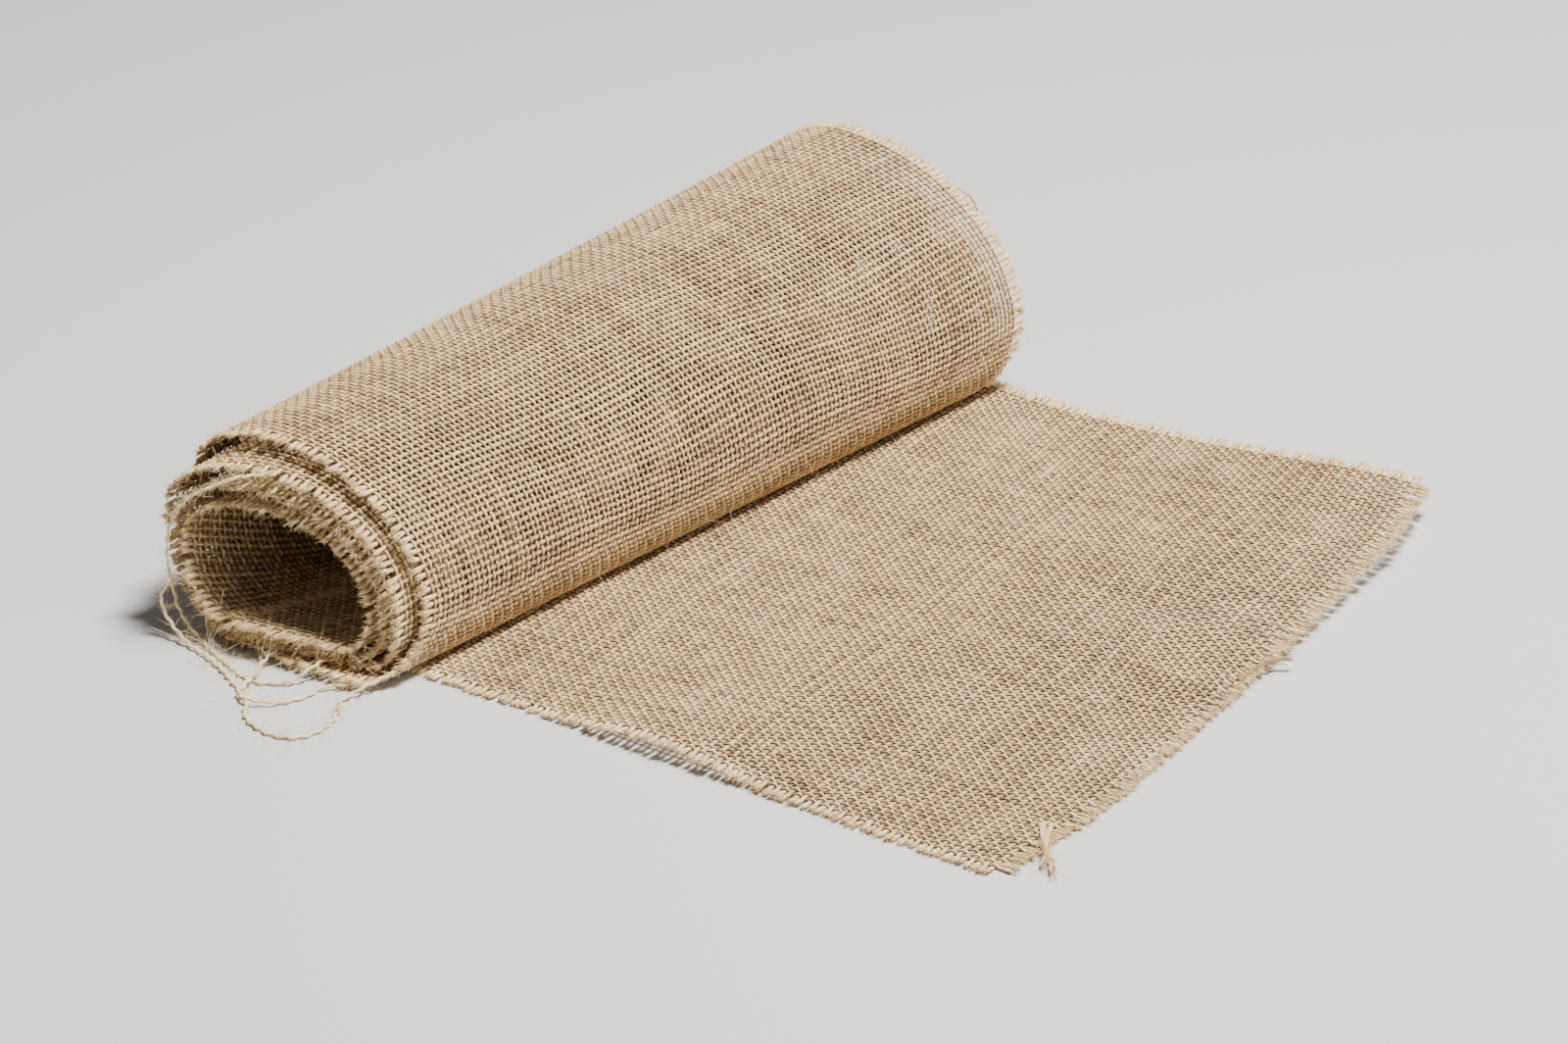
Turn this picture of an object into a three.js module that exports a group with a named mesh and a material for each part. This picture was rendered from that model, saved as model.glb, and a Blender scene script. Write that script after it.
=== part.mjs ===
import * as THREE from 'three';

// A loosely wound roll of open-weave jute ribbon that lies on its side, with its free end
// rolled out flat beside it. There is no core and no flange: one strip of cloth holds itself.
//
// Millimetres, +Z up. X runs along the rolled-out end and Y along the roll's axis. The origin
// is on the resting surface, under the middle of the roll.
//
// A place on the wound cloth is given by its turns, counted from the line where the cloth
// leaves the surface, and by its place across the ribbon, 0 at the near edge (-Y) and 1 at the
// far edge (+Y).

// Cloth
const RIBBON_WIDTH = 300;
const CLOTH_THICKNESS = 1.5;
const PANEL_GAP = 0.3;

// Outline of the outer turn. The rising side is the same all the way along the roll. The top
// and the falling side have slumped more at the near end than at the far end.
const LIFT_OFF_X = -14.4;
const RISING_SIDE_X = -48;
const RISING_SIDE_Z = 47.4;
const NEAR_END = { topX: -8.2, topZ: 67.6, fallingX: 54, fallingZ: 16.5, footX: 45 };
const FAR_END = { topX: -10, topZ: 83.5, fallingX: 71.5, fallingZ: 21.6, footX: 60 };

// How each turn lies inside the one before it.
const SHRINK_ACROSS = 0.09;
const SHRINK_UP = 0.125;
const STACK_PER_TURN = 2.35;
const SHRINK_CENTRE_X = 2;

// Turns at the ribbon's inner end. The far end is wound looser, so its edge makes fewer.
const INNER_END_NEAR = 4.1;
const INNER_END_FAR = 3.47;

// Shares of one turn at which the outline passes from one stretch to the next.
const SHARE_RISING = 0.25;
const SHARE_TOP = 0.4;
const SHARE_FALLING = 0.7;
const SHARE_FOOT = 0.8;

// The turns have crept out of the near end, most at the bottom and the rising side. The foot of
// the outer turn has crept out further than those inside it.
const CREEP_START = 0.66;
const CREEP_FULL = 0.82;
const CREEP_MEAN = 13;
const CREEP_SWING = 7;
const CREEP_PHASE = 0.08;
const CREEP_PER_TURN = 1.2;
const FOOT_CREEP = { more: 8, turns: 0.82, reach: 0.12 };

// Rolled-out end. It is cut along a crosswise yarn, so the near edge is longer.
const TAIL_END_NEAR_X = 272.5;
const TAIL_END_FAR_X = 235;
const TAIL_FOLD_X = 76;
const RIPPLE_START_X = 78;
const NEAR_EDGE_RIPPLE = { height: 4.5, x: 140, reachX: 34, reachY: 60 };
const FAR_CORNER_CURL = { height: 9, startX: 120, reachY: 110 };
const MIDDLE_RIPPLE = { height: 2.2, x: 178, reachX: 40, reachY: 75 };

// Panels that the rising side is divided into, by the cloth's slope in degrees at each line.
const PANEL_SLOPES = [0, 30, 60, 90];

// Segments of the faceted solids
const SEGMENTS_PER_TURN = 44;
const OUTER_TURN_SEGMENTS = 34;
const SEGMENTS_PER_PANEL = 4;
const SEGMENTS_ACROSS_SLANT = 8;
const TAIL_SEGMENTS = 14;
const TAIL_SEGMENTS_ACROSS = 10;

// Warp yarns that have come loose at the near end and hang out of the roll. Each leaves one
// turn's edge and goes back to another's, both given in turns. The Y of the points between is
// measured from the near edge of the rolled-out end.
const THREAD_DIAMETER = 1.2;
const THREAD_SIDES = 8;
const THREAD_STEP_DIAMETERS = 2.5;
const THREAD_CLEARANCE = 1.2;
const LOOSE_THREADS = {
  loose_thread_long: {
    leaves: 1.41,
    returns: 1.86,
    route: [
      [-10, -21, 60], [-18, -25.5, 56], [-27, -27, 50], [-34, -27, 41], [-37, -26.5, 33],
      [-38, -26, 25], [-37, -25.5, 17], [-34.5, -26, 10], [-30, -26.5, 5], [-24, -27.5, 2],
      [-15, -31, 0.9], [-6, -34.5, 0.8], [3, -38, 0.8], [10, -39, 0.8], [16, -36, 0.8],
      [20, -32.5, 1.6], [23, -27, 4.7],
    ],
  },
  loose_thread_looped: {
    leaves: 3.13,
    returns: 0.76,
    route: [
      [-33, -26.8, 22], [-36.5, -29.4, 17], [-37.5, -30.2, 11.5], [-34.5, -30.4, 6.5],
      [-29, -31.2, 3], [-22, -32.8, 1.2], [-14, -35, 0.9], [-5, -38.5, 0.8], [4, -43, 0.8],
      [12, -47.5, 0.8], [18, -52, 0.8], [23, -58, 0.8], [30, -62, 0.8], [39, -63.5, 0.8],
      [46, -61, 0.8], [49, -55, 0.8], [48.5, -47, 0.8], [45, -38.5, 0.8], [41, -30.5, 1.3],
    ],
  },
  loose_thread_short: {
    leaves: 1.93,
    returns: 0.8,
    route: [
      [5, -29, 2.9], [8.5, -36, 2.6], [10.5, -43, 2.5], [13, -49.5, 2.2], [18.5, -51.5, 2.2],
      [24, -48.5, 1.6], [28, -42.5, 0.8], [30, -36, 0.8], [31, -29, 1.4],
    ],
  },
};

const JUTE = { color: 0xc7ab80, roughness: 0.95, metalness: 0 };
const LOOSE_JUTE = { color: 0xd9bf98, roughness: 0.9, metalness: 0 };

// A point of a quarter ellipse, from the end of its first semi-axis to that of its second.
function quarterEllipse(centreX, centreZ, from, to, share) {
  const angle = (share * Math.PI) / 2;
  return new THREE.Vector2(
    centreX + from[0] * Math.cos(angle) + to[0] * Math.sin(angle),
    centreZ + from[1] * Math.cos(angle) + to[1] * Math.sin(angle),
  );
}

// The outer turn's outline, clockwise seen from the near end, from where it leaves the surface.
function outlinePoint(share, end) {
  if (share < SHARE_RISING) {
    const down = [0, -RISING_SIDE_Z];
    const side = [RISING_SIDE_X - LIFT_OFF_X, 0];
    return quarterEllipse(LIFT_OFF_X, RISING_SIDE_Z, down, side, share / SHARE_RISING);
  }
  if (share < SHARE_TOP) {
    const side = [RISING_SIDE_X - end.topX, 0];
    const up = [0, end.topZ - RISING_SIDE_Z];
    const part = (share - SHARE_RISING) / (SHARE_TOP - SHARE_RISING);
    return quarterEllipse(end.topX, RISING_SIDE_Z, side, up, part);
  }
  if (share < SHARE_FALLING) {
    const up = [0, end.topZ - end.fallingZ];
    const side = [end.fallingX - end.topX, 0];
    const part = (share - SHARE_TOP) / (SHARE_FALLING - SHARE_TOP);
    return quarterEllipse(end.topX, end.fallingZ, up, side, part);
  }
  if (share < SHARE_FOOT) {
    const side = [end.fallingX - end.footX, 0];
    const down = [0, -end.fallingZ];
    const part = (share - SHARE_FALLING) / (SHARE_FOOT - SHARE_FALLING);
    return quarterEllipse(end.footX, end.fallingZ, side, down, part);
  }
  const part = (share - SHARE_FOOT) / (1 - SHARE_FOOT);
  return new THREE.Vector2(THREE.MathUtils.lerp(end.footX, LIFT_OFF_X, part), 0);
}

// The middle of the cloth after some turns, in the section at one end of the roll.
function woundPoint(turns, end) {
  const point = outlinePoint(turns - Math.floor(turns), end);
  const scaleX = 1 - SHRINK_ACROSS * turns;
  const scaleZ = 1 - SHRINK_UP * turns;
  return new THREE.Vector2(
    SHRINK_CENTRE_X + scaleX * (point.x - SHRINK_CENTRE_X),
    scaleZ * point.y + STACK_PER_TURN * turns + CLOTH_THICKNESS / 2,
  );
}

// Direction in which the cloth runs there, as turns grow.
function woundDirection(turns, end) {
  const step = 1e-4;
  const before = woundPoint(Math.max(turns - step, 0), end);
  return woundPoint(turns + step, end).sub(before).normalize();
}

// How far the cloth has crept towards the near end.
function creep(turns) {
  const begun = THREE.MathUtils.smoothstep(turns, CREEP_START, CREEP_FULL);
  const swing = CREEP_SWING * Math.cos(2 * Math.PI * (turns - CREEP_PHASE));
  const foot = FOOT_CREEP.more * Math.exp(-(((turns - FOOT_CREEP.turns) / FOOT_CREEP.reach) ** 2));
  return begun * (CREEP_MEAN + swing + foot + CREEP_PER_TURN * turns);
}

// A point of the wound cloth, moved outwards from its middle.
function clothPoint(turns, across, outwards) {
  const sides = [NEAR_END, FAR_END].map((end) => {
    const direction = woundDirection(turns, end);
    return woundPoint(turns, end).add(
      new THREE.Vector2(-direction.y, direction.x).multiplyScalar(outwards),
    );
  });
  const section = sides[0].lerp(sides[1], across);
  const y = (across - 0.5) * RIBBON_WIDTH - creep(turns);
  return new THREE.Vector3(section.x, y, section.y);
}

// Height of the rolled-out end above the resting surface.
function ripple(x, y) {
  if (x < RIPPLE_START_X) {
    return 0;
  }
  const nearEdge = y + RIBBON_WIDTH / 2;
  const farEdge = RIBBON_WIDTH / 2 - y;
  const begun = THREE.MathUtils.smoothstep(x, RIPPLE_START_X, NEAR_EDGE_RIPPLE.x);
  const hump = Math.exp(-(((x - NEAR_EDGE_RIPPLE.x) / NEAR_EDGE_RIPPLE.reachX) ** 2));
  const fade = Math.exp(-((nearEdge / NEAR_EDGE_RIPPLE.reachY) ** 2));
  const middleX = Math.exp(-(((x - MIDDLE_RIPPLE.x) / MIDDLE_RIPPLE.reachX) ** 2));
  const middleY = Math.exp(-((y / MIDDLE_RIPPLE.reachY) ** 2));
  const curlX = THREE.MathUtils.smoothstep(x, FAR_CORNER_CURL.startX, TAIL_END_FAR_X);
  const curlY = Math.exp(-((farEdge / FAR_CORNER_CURL.reachY) ** 2));
  return begun * (NEAR_EDGE_RIPPLE.height * hump * fade + MIDDLE_RIPPLE.height * middleX * middleY)
    + FAR_CORNER_CURL.height * curlX * curlY;
}

// Turns at which the rising side has a given slope.
function turnsAtSlope(degrees) {
  let low = 0;
  let high = SHARE_RISING;
  for (let round = 0; round < 40; round += 1) {
    const middle = (low + high) / 2;
    const direction = woundDirection(middle, NEAR_END);
    const slope = THREE.MathUtils.radToDeg(Math.atan2(direction.y, -direction.x));
    if (slope < degrees) {
      low = middle;
    } else {
      high = middle;
    }
  }
  return low;
}

// A box whose corners are moved to the places that a function gives for them.
function bentBox(segments, segmentsAcross, place) {
  const geometry = new THREE.BoxGeometry(1, 1, 1, segments, segmentsAcross, 1);
  const position = geometry.attributes.position;
  for (let i = 0; i < position.count; i += 1) {
    const point = place(position.getX(i) + 0.5, position.getY(i) + 0.5, position.getZ(i));
    position.setXYZ(i, point.x, point.y, point.z);
  }
  geometry.computeVertexNormals();
  return geometry;
}

// The part of a turn that a panel gap takes up at its place on the roll.
function gapInTurns(turns) {
  const step = 1e-4;
  const inwards = turns < step ? turns : turns - step;
  const length = woundPoint(inwards + 2 * step, NEAR_END).distanceTo(woundPoint(inwards, NEAR_END));
  return (PANEL_GAP * 2 * step) / length;
}

// A panel between two lines across the wound cloth. The second may slant towards the far edge.
function woundPanel(startTurns, endTurns, segments, endTurnsFar = endTurns) {
  const start = startTurns + gapInTurns(startTurns) / 2;
  const segmentsAcross = endTurnsFar === endTurns ? 1 : SEGMENTS_ACROSS_SLANT;
  return bentBox(segments, segmentsAcross, (along, across, outwards) => {
    const outer = THREE.MathUtils.lerp(endTurns, endTurnsFar, across);
    const end = outer - gapInTurns(outer) / 2;
    const turns = THREE.MathUtils.lerp(start, end, along);
    return clothPoint(turns, across, outwards * CLOTH_THICKNESS);
  });
}

// A panel of the rolled-out end, between two lines across it, each given at both edges.
function flatPanel(innerX, outerNearX, outerFarX) {
  return bentBox(TAIL_SEGMENTS, TAIL_SEGMENTS_ACROSS, (along, across, outwards) => {
    const outerX = THREE.MathUtils.lerp(outerNearX, outerFarX, across);
    const x = THREE.MathUtils.lerp(outerX, innerX, along);
    const y = (across - 0.5) * RIBBON_WIDTH;
    const z = CLOTH_THICKNESS * (0.5 - outwards) + ripple(x, y);
    return new THREE.Vector3(x, y, z);
  });
}

// A point just in front of a turn's near edge, where a loose thread leaves the cloth.
function edgePoint(turns) {
  return clothPoint(turns, 0, 0).sub(new THREE.Vector3(0, THREAD_CLEARANCE, 0));
}

function looseThread({ leaves, returns, route }) {
  const between = route.map(([x, y, z]) => new THREE.Vector3(x, y - RIBBON_WIDTH / 2, z));
  const path = new THREE.CatmullRomCurve3([edgePoint(leaves), ...between, edgePoint(returns)]);
  const section = new THREE.Shape();
  for (let side = 0; side < THREAD_SIDES; side += 1) {
    const angle = (2 * Math.PI * side) / THREAD_SIDES;
    const x = (THREAD_DIAMETER / 2) * Math.cos(angle);
    const y = (THREAD_DIAMETER / 2) * Math.sin(angle);
    if (side === 0) {
      section.moveTo(x, y);
    } else {
      section.lineTo(x, y);
    }
  }
  const steps = Math.round(path.getLength() / (THREAD_STEP_DIAMETERS * THREAD_DIAMETER));
  return new THREE.ExtrudeGeometry(section, { steps, extrudePath: path, bevelEnabled: false });
}

const object = new THREE.Group();

function addNode(name, geometry, look) {
  const mesh = new THREE.Mesh(geometry, new THREE.MeshStandardMaterial(look));
  mesh.name = name;
  object.add(mesh);
}

addNode('tail_end_panel', flatPanel(TAIL_FOLD_X + PANEL_GAP / 2, TAIL_END_NEAR_X, TAIL_END_FAR_X), JUTE);
addNode(
  'tail_base_panel',
  flatPanel(LIFT_OFF_X + PANEL_GAP / 2, TAIL_FOLD_X - PANEL_GAP / 2, TAIL_FOLD_X - PANEL_GAP / 2),
  JUTE,
);

const panelLines = PANEL_SLOPES.map(turnsAtSlope);
for (let i = 1; i < panelLines.length; i += 1) {
  addNode(`rising_panel_${i}`, woundPanel(panelLines[i - 1], panelLines[i], SEGMENTS_PER_PANEL), JUTE);
}

addNode('outer_turn', woundPanel(panelLines.at(-1), 1, OUTER_TURN_SEGMENTS), JUTE);
addNode('second_turn', woundPanel(1, 2, SEGMENTS_PER_TURN), JUTE);
addNode('third_turn', woundPanel(2, 3, SEGMENTS_PER_TURN), JUTE);
addNode('fourth_turn', woundPanel(3, INNER_END_NEAR, SEGMENTS_PER_TURN, INNER_END_FAR), JUTE);

for (const [name, thread] of Object.entries(LOOSE_THREADS)) {
  addNode(name, looseThread(thread), LOOSE_JUTE);
}

export default object;
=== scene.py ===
import math

import bpy
import numpy as np
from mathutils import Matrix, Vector


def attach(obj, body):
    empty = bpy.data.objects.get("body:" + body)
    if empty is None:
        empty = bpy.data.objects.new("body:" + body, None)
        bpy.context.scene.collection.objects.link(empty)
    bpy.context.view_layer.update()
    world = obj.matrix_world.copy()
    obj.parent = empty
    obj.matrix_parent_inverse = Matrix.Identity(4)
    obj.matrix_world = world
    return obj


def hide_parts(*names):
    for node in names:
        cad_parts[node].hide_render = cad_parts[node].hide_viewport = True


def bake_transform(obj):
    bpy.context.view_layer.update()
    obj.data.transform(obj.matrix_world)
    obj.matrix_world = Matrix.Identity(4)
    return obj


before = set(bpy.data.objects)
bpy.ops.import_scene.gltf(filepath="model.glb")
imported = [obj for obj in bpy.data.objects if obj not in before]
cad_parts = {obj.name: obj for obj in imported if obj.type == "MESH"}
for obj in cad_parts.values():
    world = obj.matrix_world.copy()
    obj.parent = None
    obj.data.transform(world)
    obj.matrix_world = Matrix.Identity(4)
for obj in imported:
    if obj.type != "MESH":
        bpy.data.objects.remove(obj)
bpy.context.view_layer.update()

MM = 0.001

# ---------------------------------------------------------------------------
# The cloth's shape, in millimetres, as in the CAD model
# ---------------------------------------------------------------------------

RIBBON_WIDTH = 300.0
CLOTH_THICKNESS = 1.5
LIFT_OFF_X = -14.4
RISING_SIDE_X = -48.0
RISING_SIDE_Z = 47.4
NEAR_END = {"top_x": -8.2, "top_z": 67.6, "falling_x": 54.0, "falling_z": 16.5, "foot_x": 45.0}
FAR_END = {"top_x": -10.0, "top_z": 83.5, "falling_x": 71.5, "falling_z": 21.6, "foot_x": 60.0}

# Each further turn is smaller across and up, and stands higher on the one below it.
SHRINK_ACROSS = 0.09
SHRINK_UP = 0.125
STACK_PER_TURN = 2.35
SHRINK_CENTRE_X = 2.0
INNER_END_NEAR = 4.1
INNER_END_FAR = 3.47
SHARE_RISING, SHARE_TOP, SHARE_FALLING, SHARE_FOOT = 0.25, 0.4, 0.7, 0.8

# The turns have crept out of the near end.
CREEP_START, CREEP_FULL = 0.66, 0.82
CREEP_MEAN, CREEP_SWING, CREEP_PHASE, CREEP_PER_TURN = 13.0, 7.0, 0.08, 1.2
FOOT_CREEP, FOOT_CREEP_TURNS, FOOT_CREEP_REACH = 8.0, 0.82, 0.12

# The rolled-out end: its cut end, the line where it folds, and its ripples.
TAIL_END_NEAR_X, TAIL_END_FAR_X = 272.5, 235.0
TAIL_FOLD_X = 76.0
RIPPLE_START_X, RIPPLE_FULL_X = 78.0, 140.0
NEAR_RIPPLE = {"high": 4.5, "at_x": 140.0, "reach": 34.0, "across": 60.0}
MIDDLE_RIPPLE = {"high": 2.2, "at_x": 178.0, "reach": 40.0, "across": 75.0}
CORNER_CURL = {"high": 9.0, "from_x": 120.0, "across": 110.0}

# Lines across the cloth, in turns, at the middles of the three rising panels.
PANEL_MIDDLES = (0.03072, 0.10134, 0.19424)

# The weave: spacing of the yarns, and how many lie across the strip.
WARP_PITCH = 2.28
WEFT_PITCH = 2.43
WARPS = round(RIBBON_WIDTH / WARP_PITCH) - 2
EDGE_MARGIN = (RIBBON_WIDTH - (WARPS - 1) * WARP_PITCH) / 2

SEED = 7


def smoothstep(x, low, high):
    """From 0 at low to 1 at high, level at both."""
    t = np.clip((x - low) / (high - low), 0, 1)
    return t * t * (3 - 2 * t)


def outline(share, end):
    """The outer turn's outline, clockwise seen from the near end, at shares of one turn."""
    share = np.asarray(share, float)
    x, z = np.empty_like(share), np.empty_like(share)

    def quarter(mask, cx, cz, first, second, part):
        a = part * np.pi / 2
        x[mask] = cx + first[0] * np.cos(a) + second[0] * np.sin(a)
        z[mask] = cz + first[1] * np.cos(a) + second[1] * np.sin(a)

    m = share < SHARE_RISING
    quarter(m, LIFT_OFF_X, RISING_SIDE_Z, (0, -RISING_SIDE_Z), (RISING_SIDE_X - LIFT_OFF_X, 0),
            share[m] / SHARE_RISING)
    m = (share >= SHARE_RISING) & (share < SHARE_TOP)
    quarter(m, end["top_x"], RISING_SIDE_Z, (RISING_SIDE_X - end["top_x"], 0),
            (0, end["top_z"] - RISING_SIDE_Z),
            (share[m] - SHARE_RISING) / (SHARE_TOP - SHARE_RISING))
    m = (share >= SHARE_TOP) & (share < SHARE_FALLING)
    quarter(m, end["top_x"], end["falling_z"], (0, end["top_z"] - end["falling_z"]),
            (end["falling_x"] - end["top_x"], 0),
            (share[m] - SHARE_TOP) / (SHARE_FALLING - SHARE_TOP))
    m = (share >= SHARE_FALLING) & (share < SHARE_FOOT)
    quarter(m, end["foot_x"], end["falling_z"], (end["falling_x"] - end["foot_x"], 0),
            (0, -end["falling_z"]),
            (share[m] - SHARE_FALLING) / (SHARE_FOOT - SHARE_FALLING))
    m = share >= SHARE_FOOT
    part = (share[m] - SHARE_FOOT) / (1 - SHARE_FOOT)
    x[m] = end["foot_x"] + (LIFT_OFF_X - end["foot_x"]) * part
    z[m] = 0
    return x, z


def wound(turns, end):
    """The middle of the cloth after some turns, in the section at one end of the roll."""
    turns = np.asarray(turns, float)
    x, z = outline(turns - np.floor(turns), end)
    x = SHRINK_CENTRE_X + (1 - SHRINK_ACROSS * turns) * (x - SHRINK_CENTRE_X)
    z = (1 - SHRINK_UP * turns) * z + STACK_PER_TURN * turns + CLOTH_THICKNESS / 2
    return np.stack([x, z], -1)


def creep(turns):
    """How far the cloth has slid towards the near end after some turns."""
    begun = smoothstep(turns, CREEP_START, CREEP_FULL)
    swing = CREEP_SWING * np.cos(2 * np.pi * (turns - CREEP_PHASE))
    foot = FOOT_CREEP * np.exp(-((turns - FOOT_CREEP_TURNS) / FOOT_CREEP_REACH) ** 2)
    return begun * (CREEP_MEAN + swing + foot + CREEP_PER_TURN * turns)


def hump(shape, x, from_line):
    """Height of one ripple at x and at a distance from the line that it crosses."""
    along = np.exp(-((x - shape["at_x"]) / shape["reach"]) ** 2)
    return shape["high"] * along * np.exp(-(from_line / shape["across"]) ** 2)


def ripple(x, y):
    """Height of the rolled-out end above the surface."""
    near_edge, far_edge = y + RIBBON_WIDTH / 2, RIBBON_WIDTH / 2 - y
    begun = smoothstep(x, RIPPLE_START_X, RIPPLE_FULL_X)
    near = hump(NEAR_RIPPLE, x, near_edge)
    middle = hump(MIDDLE_RIPPLE, x, y)
    curl = (CORNER_CURL["high"] * smoothstep(x, CORNER_CURL["from_x"], TAIL_END_FAR_X)
            * np.exp(-(far_edge / CORNER_CURL["across"]) ** 2))
    return np.where(x < RIPPLE_START_X, 0, begun * (near + middle) + curl)


# A place along the cloth is one number: turns where it is wound, and below zero the distance
# in front of the line where it leaves the surface, in this many millimetres.
FLAT_UNIT = 266.0


def cloth(place, across):
    """Middle of the cloth at places along it and across it (0 near edge, 1 far edge)."""
    place, across = np.broadcast_arrays(np.asarray(place, float), np.asarray(across, float))
    turns = np.maximum(place, 0)
    near, far = wound(turns, NEAR_END), wound(turns, FAR_END)
    section = near + (far - near) * across[..., None]
    y = (across - 0.5) * RIBBON_WIDTH
    x_flat = LIFT_OFF_X - place * FLAT_UNIT
    x = np.where(place < 0, x_flat, section[..., 0])
    z = np.where(place < 0, CLOTH_THICKNESS / 2 + ripple(x_flat, y), section[..., 1])
    return np.stack([x, y - creep(turns), z], -1)


def face_up(place, across):
    """Unit normal of the cloth's face that is up where it is flat, and inside where it is wound."""
    step, side = 2e-4, 2e-3
    along = cloth(place + step, across) - cloth(place - step, across)
    over = cloth(place, across + side) - cloth(place, across - side)
    n = np.cross(over, along)
    return n / np.linalg.norm(n, axis=-1, keepdims=True)


# ---------------------------------------------------------------------------
# Material lengths: where each crosswise yarn lies
# ---------------------------------------------------------------------------

STATIONS = np.linspace(0, 1, 25)
LENGTH_STEP = 1.0
LENGTHS_FROM, LENGTHS_TO = -14, 1206

# Ends of the range of places in the table: beyond the free end, and beyond the inner end.
FIRST_PLACE, LAST_PLACE = -1.16, 4.25


def length_table():
    """Places at even steps of the cloth's own length from its free end, at each station."""
    places = np.concatenate([np.linspace(FIRST_PLACE, 0, 700, endpoint=False),
                             np.linspace(0, LAST_PLACE, 4250)])
    points = cloth(places[:, None], STATIONS[None, :])
    run = np.concatenate([np.zeros((1, len(STATIONS))),
                          np.cumsum(np.linalg.norm(np.diff(points, axis=0), axis=2), axis=0)])
    grid = np.arange(LENGTHS_FROM, LENGTHS_TO, LENGTH_STEP)
    table = []
    for k, across in enumerate(STATIONS):
        end_x = TAIL_END_NEAR_X + (TAIL_END_FAR_X - TAIL_END_NEAR_X) * across
        zero = np.interp((LIFT_OFF_X - end_x) / FLAT_UNIT, places, run[:, k])
        table.append(np.interp(grid, run[:, k] - zero, places))
    return grid, np.array(table)


LENGTHS, PLACES = length_table()
STRIP_LENGTH = float(np.interp(INNER_END_NEAR, PLACES[0], LENGTHS))


def place_at(length, across):
    """The place along the cloth at a length from its free end."""
    length, across = np.broadcast_arrays(length, across)
    g = np.clip((length - LENGTHS[0]) / LENGTH_STEP, 0, len(LENGTHS) - 1.001)
    s = np.clip(across, 0, 1) * (len(STATIONS) - 1.001)
    gi, si = g.astype(int), s.astype(int)
    gf, sf = g - gi, s - si
    low = PLACES[si, gi] * (1 - gf) + PLACES[si, gi + 1] * gf
    high = PLACES[si + 1, gi] * (1 - gf) + PLACES[si + 1, gi + 1] * gf
    return low * (1 - sf) + high * sf


# ---------------------------------------------------------------------------
# Meshes of many tubes
# ---------------------------------------------------------------------------

# The fibres' pattern is stretched along each yarn and fine around it.
STRAND_ALONG, STRAND_AROUND = 2.4, 0.2

# The least height of any point above the floor.
FLOOR_GAP = 0.02


class Tubes:
    """Tubes with the same number of rings and sides, whose stretches go to different pieces.

    Twist turns the fibres' pattern, in radians a millimetre, and the last argument darkens the sides
    with painted shade.
    """

    def __init__(self, centres, up, half_width, half_height, sides, tone, rng, twist=0.9,
                 flank_shade=0.0):
        n, m = centres.shape[:2]
        tangent = np.gradient(centres, axis=1)
        tangent /= np.linalg.norm(tangent, axis=2, keepdims=True) + 1e-12
        side = np.cross(tangent, up)
        side /= np.linalg.norm(side, axis=2, keepdims=True) + 1e-12
        up = np.cross(side, tangent)
        angle = np.arange(sides) * 2 * np.pi / sides
        c, s = np.cos(angle)[None, None, :, None], np.sin(angle)[None, None, :, None]
        wide = np.broadcast_to(half_width, (n, m))[..., None, None]
        high = np.broadcast_to(half_height, (n, m))[..., None, None]
        self.points = (centres[:, :, None] + side[:, :, None] * (wide * c)
                       + up[:, :, None] * (high * s))
        step = np.linalg.norm(np.diff(centres, axis=1), axis=2)
        along = np.concatenate([np.zeros((n, 1)), np.cumsum(step, axis=1)], axis=1)[..., None]
        turned = angle[None, None, :] + twist * along
        radius = np.broadcast_to(half_width, (n, m))[..., None]
        offset = rng.uniform(0, 400, (n, 1, 1))
        self.strand = np.stack([np.broadcast_to(along, turned.shape) / STRAND_ALONG + offset,
                                radius * np.cos(turned) / STRAND_AROUND,
                                radius * np.sin(turned) / STRAND_AROUND], -1)
        # Painted shade: each ring's sides are darkened, most where they face across the tube.
        dark = np.broadcast_to(flank_shade, (n, m))[..., None] * np.abs(np.cos(angle))
        self.tone = np.broadcast_to(tone, (n, m))[..., None] - dark
        self.shape = (n, m, sides)

    def cut(self, keep=None):
        """Vertices, loops, polygon sizes and attributes of the kept stretches, with caps."""
        n, m, sides = self.shape
        if keep is None:
            keep = np.ones((n, m - 1), bool)
        ids = np.arange(n * m * sides).reshape(n, m, sides)
        nxt = np.roll(ids, -1, axis=2)
        quads = np.stack([ids[:, :-1], ids[:, 1:], nxt[:, 1:], nxt[:, :-1]], -1)[keep].reshape(-1, 4)
        off = np.zeros((n, 1), bool)
        starts = keep & ~np.concatenate([off, keep[:, :-1]], 1)
        ends = keep & ~np.concatenate([keep[:, 1:], off], 1)
        caps = np.concatenate([ids[:, :-1][starts], ids[:, 1:][ends][:, ::-1]])
        used, loops = np.unique(np.concatenate([quads.ravel(), caps.ravel()]), return_inverse=True)
        sizes = np.concatenate([np.full(len(quads), 4), np.full(len(caps), sides)])
        corners = (self.points.reshape(-1, 3)[used], self.strand.reshape(-1, 3)[used],
                   self.tone.ravel()[used])
        return corners, loops, sizes


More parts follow.
